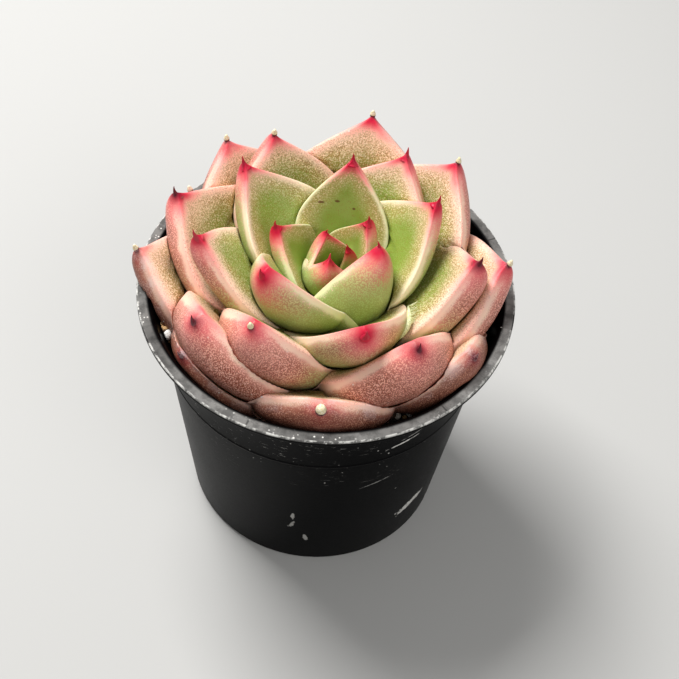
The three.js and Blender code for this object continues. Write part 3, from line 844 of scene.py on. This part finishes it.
class ECHEVERIA_OT_fringe(bpy.types.Operator):
    """Make the small pale fringe beside the eleventh leaf"""

    bl_idname = "echeveria.fringe"
    bl_label = "Fringe"

    def execute(self, context):
        """A short body along a bowed line that swells by a half sine, with bent cones on its outer side."""
        tones = context.scene.echeveria_tones
        m = Material("fringe_skin")
        spots = m.noise(m.place(), 0.4, 2.0).step(0.45, 0.65) * 0.7
        skin = m.finish(Base_Color=m.mix(spots, tones.lime, tones.pale_green), Roughness=0.5)
        first, last, bow = (np.array(v) for v in (FRINGE.first, FRINGE.last, FRINGE.bow))
        across, raised = np.array([0.94, -0.1, 0.3]), np.array([-0.3, 0.1, 0.95])
        turn = np.linspace(0, 2 * np.pi, 12, endpoint=False)

        def tube(line, radius):
            """Rings of a radius round a line."""
            ring = np.cos(turn)[:, None] * across + np.sin(turn)[:, None] * raised
            return line[:, None] + radius[..., None] * ring

        u = np.linspace(0, 1, 24)[:, None]
        line = first + (last - first) * u + bow * np.sin(np.pi * u)
        parts = [tube(line, 0.1 + (0.8 - 0.45 * u) * np.sin(np.pi * u) ** 0.6)]
        draw = np.random.default_rng(31)
        v = np.linspace(0, 1, 7)[:, None]
        for share in np.linspace(0.45, 0.97, FRINGE.teeth):
            foot = first + (last - first) * share + bow * np.sin(np.pi * share)
            way = np.array([0.9, 0.2 + 0.5 * (share - 0.5), 0.25]) + draw.normal(0, 0.1, 3)
            reach = draw.uniform(1.0, 1.6)
            stalk = foot + 0.3 * way + way * reach * v + np.array([0, 0, 0.5]) * v**2
            parts.append(tube(stalk, 0.06 + 0.26 * (1 - v) ** 0.7))
        hand_over(make_object("leaf_fringe", *tubes(parts), skin), "leaf")
        return {"FINISHED"}


# Stem
def stem_material():
    """Green-brown bark with paler lengthwise streaks."""
    m = Material("stem_bark")
    place = m.place()
    streak = m.noise(m.moved(place, scale=(1, 1, 0.2)), 0.9, 4.0, 0.6)
    tone = m.mix(streak.step(0.35, 0.65), linear(96, 88, 52), linear(140, 142, 86))
    return m.finish(Base_Color=tone, Roughness=0.8, Normal=m.bump(streak, 0.25))


class ECHEVERIA_OT_stem(bpy.types.Operator):
    """Make the short thick stem"""

    bl_idname = "echeveria.stem"
    bl_label = "Stem"

    def execute(self, context):
        """The stem's profile carried round its axis; ring scars add 0.12 (sin(3 z) - 1) to its radius."""
        rosette = context.scene.echeveria_rosette
        height = np.linspace(STEM.neck - 6, STEM.tip - 0.05, 40)
        radius = np.array([stem_radius(z) for z in height]) + 0.12 * np.sin(3 * height) - 0.12
        low = [[2.2, STEM.foot + 0.05], [3.4, STEM.foot + 2.5], [4.6, STEM.foot + 5]]
        rings = turned(np.concatenate([low, np.stack([np.maximum(radius, 0.05), height], -1)]), 40)
        rings[..., :2] += np.array([rosette.centre_x, rosette.centre_y]) / MM
        hand_over(make_object("stem_bark", *tubes([rings]), stem_material()), "stem", "stem")
        return {"FINISHED"}


# Pot
def wall_radius(pot, height):
    """Outer radius of the tapering wall at a height, in millimetres."""
    return pot.base / MM + pot.taper * height


def oval(around, z, pot, mark, ragged):
    """A mark's share, from its whiteness in the middle to 0 at its ragged edge.

    It follows from the angle round the pot, times the wall's radius there, and from the height.
    """
    aside = (around - math.radians(mark["turn"])) * wall_radius(pot, mark["height"])
    rise = z - mark["height"]
    cos, sin = math.cos(math.radians(mark["tilt"])), math.sin(math.radians(mark["tilt"]))
    along, across = aside * cos + rise * sin, rise * cos - aside * sin
    far = (along / (0.5 * mark["long"])) ** 2 + (across / (0.5 * mark["wide"])) ** 2
    return (far + (ragged - 0.5) * 5).step(1.2, 0.5) * mark["white"]


def pot_material(pot):
    """Black plastic: a rubbed grey rim with painted reflection and a painted white edge highlight, and a wall
    with scratches, dusty specks and residue.
    """
    m = Material("pot_plastic")
    place = m.place()
    x, y, z = m.axes(place)
    top, rim = pot.height / MM, pot.rim / MM
    cloud = m.noise(place, 14, 3.0)
    fine = m.noise(place, 0.5, 3.0, 0.6)
    rub = m.noise(place, 1.3, 4.0, 0.65)
    radius = (x * x + y * y).at_least(0.01) ** 0.5
    around = m.math("ARCTAN2", y, x)
    on_rim = z.step(top - 0.6, top - 0.3) * radius.step(rim - 2.3, rim - 1.7)
    tone = m.mix(cloud.step(0.4, 0.75) * 0.3, pot.black, linear(8, 8, 9))

    # the rim is rubbed grey with painted reflection, and has seams, flecks and a painted white edge highlight
    streak = m.noise(m.moved(place, scale=(1, 1, 4)), 3.2, 4.0, 0.7)
    wear_and_reflection = (0.4 + 0.35 * streak.step(0.36, 0.6)) * (0.85 + 1.4 * (cloud - 0.5))
    # Painted reflection: the rim's grey is painted darker at the front and lighter towards the right.
    front = (around - math.radians(RIM.front)).absolute().step(0.3, 0.1)
    wear_and_reflection = wear_and_reflection * (1 - 0.5 * front) * (0.95 + 0.006 * x)
    tone = m.mix(on_rim * wear_and_reflection, tone, pot.scuff)
    seams = 0
    for turn in RIM.seams:
        seams = ((around - math.radians(turn)).absolute() * (rim - 1)).step(0.28, 0.08) + seams
    tone = m.mix(on_rim * seams * 0.6, tone, pot.black)
    # Painted highlight: a broken white line along the rim's outer upper edge.
    highlight_patches = m.noise(place, 1.4, 4.0, 0.65).step(0.42, 0.6)
    lip = z.step(top - 0.5, top - 0.2) * radius.step(rim - 0.45, rim - 0.2) * highlight_patches
    fleck, fleck_tone = m.cells(place, 0.8)
    flecks = fleck.step(0.32, 0.16) * fleck_tone.step(0.62, 0.7) * on_rim
    flecks = flecks * cloud.step(0.44, 0.6).at_least(front)

    # the wall has dust specks, crumbs and fine scratches towards the rim, and the larger marks
    speck, speck_tone = m.cells(place, 3.1)
    specks = speck.step(0.09, 0.05) * speck_tone.step(0.8, 0.86) * z.step(18, 50)
    below = (1 - z.step(top - 2.2, top - 1.6)) * z.step(30, 54)
    crumb, crumb_tone = m.cells(m.moved(place, (0.1, 0.3, 0.2)), 0.85)
    crumbs = crumb.step(0.26, 0.14) * crumb_tone.step(0.78, 0.9) * below
    crumbs = crumbs * m.noise(place, 6, 2.0).step(0.56, 0.7)
    long = m.noise(m.moved(place, (0.2, 0.4, 0.1), (0.2, 0.2, 1.5)), 0.5, 4.0, 0.7)
    scratches = long.step(0.62, 0.7) * below * cloud.step(0.46, 0.6) * 0.5
    # Real dust and wear, together with the painted highlight on the rim's edge.
    dust_and_highlight = lip + flecks + specks + crumbs + scratches
    for mark in POT_MARKS:
        dust_and_highlight = dust_and_highlight + oval(around, z, pot, mark, rub)
    dust_and_highlight = dust_and_highlight.at_most(1)
    tone = m.mix(dust_and_highlight * 0.9, tone, linear(226, 224, 218))
    rough = 0.34 + on_rim * 0.22 + dust_and_highlight * 0.4 + (fine - 0.5) * 0.12 + cloud * 0.08
    normal = m.bump(fine * 0.5 + rub * 0.5, 0.03, 0.6)
    return m.finish(Base_Color=tone, Roughness=rough, Normal=normal, IOR=1.1)


def make_drains(pot, made):
    """Cuts the round drain holes through the pot's floor."""
    cutters = []
    for turn in range(6):
        a = turn * math.pi / 3
        rings = turned([[pot.drain_radius / MM, -3], [pot.drain_radius / MM, 5]], 32)
        rings[..., :2] += pot.drain_ring / MM * np.array([math.cos(a), math.sin(a)])
        cutters.append(rings)
    cutter = make_object("drain_cutter", *tubes(cutters), made.data.materials[0])
    cut = made.modifiers.new("drains", "BOOLEAN")
    cut.operation, cut.solver, cut.object = "DIFFERENCE", "EXACT", cutter
    bpy.context.view_layer.update()
    mesh = bpy.data.meshes.new_from_object(made.evaluated_get(bpy.context.evaluated_depsgraph_get()))
    made.modifiers.clear()
    made.data = mesh
    bpy.data.objects.remove(cutter)


class ECHEVERIA_OT_pot(bpy.types.Operator):
    """Make the black nursery pot"""

    bl_idname = "echeveria.pot"
    bl_label = "Pot"

    def execute(self, context):
        """The pot's profile with rounded corners carried round its axis; two lengths of the rim are sunk."""
        pot = context.scene.echeveria_pot
        top, foot = pot.height / MM, (pot.height - pot.collar) / MM
        lip = (pot.height - pot.rim_thick) / MM
        mouth, rim, wall = pot.mouth / MM, pot.rim / MM, pot.wall / MM
        neck, collar_foot, base = mouth + 0.75 * wall, pot.collar_foot / MM, pot.base / MM
        ring = pot.wall_ring / MM
        ring_z = top - pot.ring_drop / MM
        ring_r = neck + (collar_foot - neck) * (pot.ring_drop / pot.collar)
        outer = [
            [0.01, 0], [base - 4, 0], [base - 0.8, 0], [base, 0.8],
            [wall_radius(pot, ring - 0.5), ring - 0.5], [wall_radius(pot, ring) + 0.14, ring - 0.12],
            [wall_radius(pot, ring) + 0.14, ring + 0.12], [wall_radius(pot, ring + 0.5), ring + 0.5],
            [wall_radius(pot, foot - 0.5), foot - 0.5],
            [collar_foot, foot], [collar_foot + 0.1, foot + 0.5], [ring_r - 0.05, ring_z - 0.35],
            [ring_r + 0.16, ring_z - 0.1], [ring_r + 0.16, ring_z + 0.15], [ring_r + 0.05, ring_z + 0.4],
            [neck, lip], [rim - 0.3, lip], [rim, lip + 0.3], [rim, top - 0.25], [rim - 0.25, top],
            [mouth + 0.2, top], [mouth, top - 0.15], [mouth - 0.4, top - 0.8],
            [wall_radius(pot, foot) - wall, foot - 1.4], [base - wall, pot.floor / MM + 1.5],
            [base - wall - 1.5, pot.floor / MM], [0.01, pot.floor / MM],
        ]
        rings = turned(rounded(outer, 0.22, 3), 360)
        angle = np.degrees(np.arctan2(rings[..., 1], rings[..., 0])) % 360
        on_top = (rings[..., 2] > top - 0.3) & (np.hypot(rings[..., 0], rings[..., 1]) > mouth - 0.2)
        for turn in RIM.dips:
            inside = np.abs(angle - turn) < math.degrees(RIM.dip_half / rim)
            rings[..., 2] -= RIM.dip_deep * (inside & on_top)
        made = make_object("pot_shell", *tubes([rings]), pot_material(pot))
        make_drains(pot, made)
        hand_over(made, "pot", "pot")
        return {"FINISHED"}


# Soil
def soil_material(pot):
    """Dark damp mix, mottled."""
    m = Material("soil_mix")
    place = m.place()
    crumb = m.noise(place, 1.2, 5.0, 0.7)
    tone = m.mix(crumb.step(0.35, 0.7), linear(26, 20, 16), pot.soil)
    return m.finish(Base_Color=tone, Roughness=0.95, Normal=m.bump(crumb, 0.8))


def grain_material(pot):
    """Crumbs, sand and perlite: the grain's own number picks its colour."""
    m = Material("soil_grains")
    place = m.place()
    kind = m.attribute("kind")
    pits = m.noise(place, 0.35, 3.0, 0.6)
    tone = m.mix(kind.step(0.2, 0.5), linear(34, 26, 20), linear(84, 62, 44))
    tone = m.mix(kind.step(0.74, 0.76), tone, pot.sand)
    tone = m.mix(kind.step(0.9, 0.92), tone, pot.perlite)
    tone = m.mix(pits.step(0.5, 0.35) * 0.5, tone, linear(60, 46, 36))
    return m.finish(Base_Color=tone, Roughness=0.9, Normal=m.bump(pits, 0.15))


def ball():
    """Points and faces of a round ball of 42 points: an icosahedron with each face cut in four."""
    g = (1 + 5**0.5) / 2
    corners = np.array([[-1, g, 0], [1, g, 0], [-1, -g, 0], [1, -g, 0]])
    points, middles, out = list(np.concatenate([np.roll(corners, k, 1) for k in range(3)])), {}, []
    faces = [
        (0, 11, 5), (0, 5, 1), (0, 1, 7), (0, 7, 10), (0, 10, 11),
        (1, 5, 9), (5, 11, 4), (11, 10, 2), (10, 7, 6), (7, 1, 8),
        (3, 9, 4), (3, 4, 2), (3, 2, 6), (3, 6, 8), (3, 8, 9),
        (4, 9, 5), (2, 4, 11), (6, 2, 10), (8, 6, 7), (9, 8, 1),
    ]

    def middle(a, b):
        """The number of the point halfway between two others, which is made once."""
        key = (min(a, b), max(a, b))
        if key not in middles:
            middles[key] = len(points)
            points.append((points[a] + points[b]) / 2)
        return middles[key]

    for a, b, c in faces:
        ab, bc, ca = middle(a, b), middle(b, c), middle(c, a)
        out += [(a, ab, ca), (b, bc, ab), (c, ca, bc), (ab, bc, ca)]
    return np.array(points) / np.linalg.norm(points, axis=1)[:, None], np.array(out)


def soil_height(x, y):
    """Height of the lumpy soil, in millimetres: a few waves as in the part, with smaller lumps on top."""
    broad = np.sin(0.9 * x + 1.3) * np.cos(0.7 * y) + 0.6 * np.sin(0.5 * x - 1.1 * y + 2.1)
    small = np.sin(2.7 * x + 0.4) * np.sin(3.1 * y + 1.0) + 0.7 * np.sin(4.3 * x - 2.2 * y)
    return 0.42 * broad + 0.16 * small


def soil_radius(pot, height):
    """Radius of the filling at a height, in millimetres."""
    return wall_radius(pot, height) - pot.wall / MM - 0.35


def grain_places(draw, pot):
    """Rows of middle, kind from 0 to 1 and radius: grains strewn on the soil, a cone of sand, and perlite."""
    top = pot.soil_top / MM
    room = soil_radius(pot, top)
    radius = room * np.sqrt(draw.uniform(0.3, 0.985, STREWN_GRAINS))
    angle = draw.uniform(0, 2 * np.pi, STREWN_GRAINS)
    x, y = radius * np.cos(angle), radius * np.sin(angle)
    kind = draw.uniform(0, 1, STREWN_GRAINS)
    perlite, sand = kind > 0.91, (kind > 0.75) & (kind < 0.91)
    size = draw.uniform(0.3, 0.85, STREWN_GRAINS) * np.where(perlite, 1.25, 1) * np.where(sand, 0.8, 1)
    size = np.minimum(size, room - radius + 0.25)
    strewn = np.stack([x, y, top + soil_height(x, y) + 0.25 * size, kind, size], -1)
    heap = SAND_HEAP
    rise = draw.uniform(0.4, heap.high, heap.grains)
    angle = draw.uniform(0, 2 * np.pi, heap.grains)
    spread = (heap.wide - rise) * np.sqrt(draw.uniform(0, 1, heap.grains))
    x, y = heap.x + spread * np.cos(angle), heap.y + spread * np.sin(angle)
    kind, size = draw.uniform(0.7, 0.9, heap.grains), draw.uniform(0.42, 0.62, heap.grains)
    heaped = np.stack([x, y, top + rise, kind, size], -1)
    pearls = [(pearl["x"], pearl["y"], pearl["z"], 1, pearl["radius"]) for pearl in SOIL_PEARLS]
    return np.concatenate([strewn, heaped, pearls])


def make_grains(pot):
    """Lumpy stretched balls at the grains' places, in one mesh; lumps are 0.16 of a mean of three sines."""
    draw = np.random.default_rng(7)
    places = grain_places(draw, pot)
    count = len(places)
    sphere, sphere_faces = ball()
    stretch = draw.uniform(0.65, 1.25, (count, 1, 3))
    turn = np.linalg.qr(draw.normal(size=(count, 3, 3)))[0]
    lumps = 1 + 0.16 * np.sin(sphere @ draw.normal(size=(count, 3, 3)) * 2.2).mean(-1)[..., None]
    grains = places[:, None, :3] + (sphere * lumps * stretch) @ turn * places[:, 4:, None]
    points = inside_pot(grains.reshape(-1, 3), pot)
    faces = (sphere_faces + (np.arange(count) * len(sphere))[:, None, None]).reshape(-1, 3)
    kind = np.repeat(places[:, 3], len(sphere))
    hand_over(make_object("soil_grains", points, faces, grain_material(pot), {"kind": kind}), "soil")


class ECHEVERIA_OT_soil(bpy.types.Operator):
    """Make the soil and its grains"""

    bl_idname = "echeveria.soil"
    bl_label = "Soil"

    def execute(self, context):
        """A closed filling: rings at the floor, then from the wall inwards on the lumpy top surface."""
        pot = context.scene.echeveria_pot
        top, bottom = pot.soil_top / MM, pot.floor / MM + 0.3
        foot = soil_radius(pot, bottom)
        rings = turned([[soil_radius(pot, top) * share, top] for share in np.linspace(1, 0.02, 40)], 160)
        rings[..., 2] += soil_height(rings[..., 0], rings[..., 1])
        low = turned([[0.5, bottom], [foot * 0.9, bottom], [foot, bottom + 0.6]], 160)
        rings = np.concatenate([low, rings])
        hand_over(make_object("soil_fill", *tubes([rings]), soil_material(pot)), "soil", "soil")
        make_grains(pot)
        return {"FINISHED"}


# Stage
class ECHEVERIA_OT_stage(bpy.types.Operator):
    """Make the floor, the soft light and the camera"""

    bl_idname = "echeveria.stage"
    bl_label = "Stage"

    def execute(self, context):
        """A pale floor, two square soft lamps that look at the plant's middle, an even sky and the camera."""
        scene, stage = context.scene, context.scene.echeveria_stage
        paper = Material("studio_floor").finish(Base_Color=stage.floor_colour, Roughness=0.85)
        half = 2500
        corners = [[-half, -half, 0], [half, -half, 0], [half, half, 0], [-half, half, 0]]
        floor = make_object("studio_floor", corners, [(0, 1, 2, 3)], paper)
        for lamp, power in ((KEY, stage.lamp_power), (FILL, stage.fill_power)):
            light = bpy.data.lights.new(lamp.name, "AREA")
            light.energy, light.size = power, lamp.size * MM
            made = bpy.data.objects.new(lamp.name, light)
            made.location = np.array(lamp.middle) * MM
            aim = Vector((0, 0, 0.06)) - made.location
            made.rotation_euler = aim.to_track_quat("-Z", "Y").to_euler()
            scene.collection.objects.link(made)
        scene.world = bpy.data.worlds.new("even_light")
        scene.world.use_nodes = True
        sky = scene.world.node_tree.nodes["Background"]
        sky.inputs["Color"].default_value = (0.98, 0.99, 1.0, 1)
        sky.inputs["Strength"].default_value = stage.sky

        camera = bpy.data.cameras.new("photo_view")
        camera.sensor_width, camera.lens = 36, stage.lens
        camera.clip_start, camera.clip_end = 0.01, 20
        made = bpy.data.objects.new("photo_view", camera)
        turn = Matrix([CAMERA.right, CAMERA.up, -Vector(CAMERA.ahead)]).transposed().to_4x4()
        made.matrix_world = Matrix.Translation(CAMERA.place) @ turn
        scene.collection.objects.link(made)
        scene.camera = made
        scene.view_settings.view_transform = "Standard"
        return {"FINISHED"}


class ECHEVERIA_PT_panel(bpy.types.Panel):
    """Lists the makers of the plant's pieces"""

    bl_idname = "ECHEVERIA_PT_panel"
    bl_label = "Potted Echeveria"
    bl_space_type = "VIEW_3D"
    bl_region_type = "UI"
    bl_category = "Echeveria"

    def draw(self, context):
        """A button for each maker, then a box of settings for each group."""
        for operator in OPERATORS:
            self.layout.operator(operator.bl_idname)
        for group in GROUPS:
            box = self.layout.box()
            settings = getattr(context.scene, group)
            for name in GROUPS[group].__annotations__:
                box.prop(settings, name)


GROUPS = {
    "echeveria_rosette": RosetteSettings,
    "echeveria_tones": LeafColours,
    "echeveria_pot": PotSettings,
    "echeveria_stage": StageSettings,
}
OPERATORS = [
    ECHEVERIA_OT_stage,
    ECHEVERIA_OT_leaves,
    ECHEVERIA_OT_fringe,
    ECHEVERIA_OT_stem,
    ECHEVERIA_OT_soil,
    ECHEVERIA_OT_pot,
]


def register():
    """Adds the classes, and a group of settings of each kind to the scene."""
    for cls in (*GROUPS.values(), *OPERATORS, ECHEVERIA_PT_panel):
        bpy.utils.register_class(cls)
    for name, cls in GROUPS.items():
        setattr(bpy.types.Scene, name, PointerProperty(type=cls))


def unregister():
    """Takes the settings and the classes away again."""
    for name in GROUPS:
        delattr(bpy.types.Scene, name)
    for cls in reversed((*GROUPS.values(), *OPERATORS, ECHEVERIA_PT_panel)):
        bpy.utils.unregister_class(cls)


def main():
    register()
    for operator in OPERATORS:
        group, name = operator.bl_idname.split(".")
        getattr(getattr(bpy.ops, group), name)()


if __name__ == "__main__":
    main()
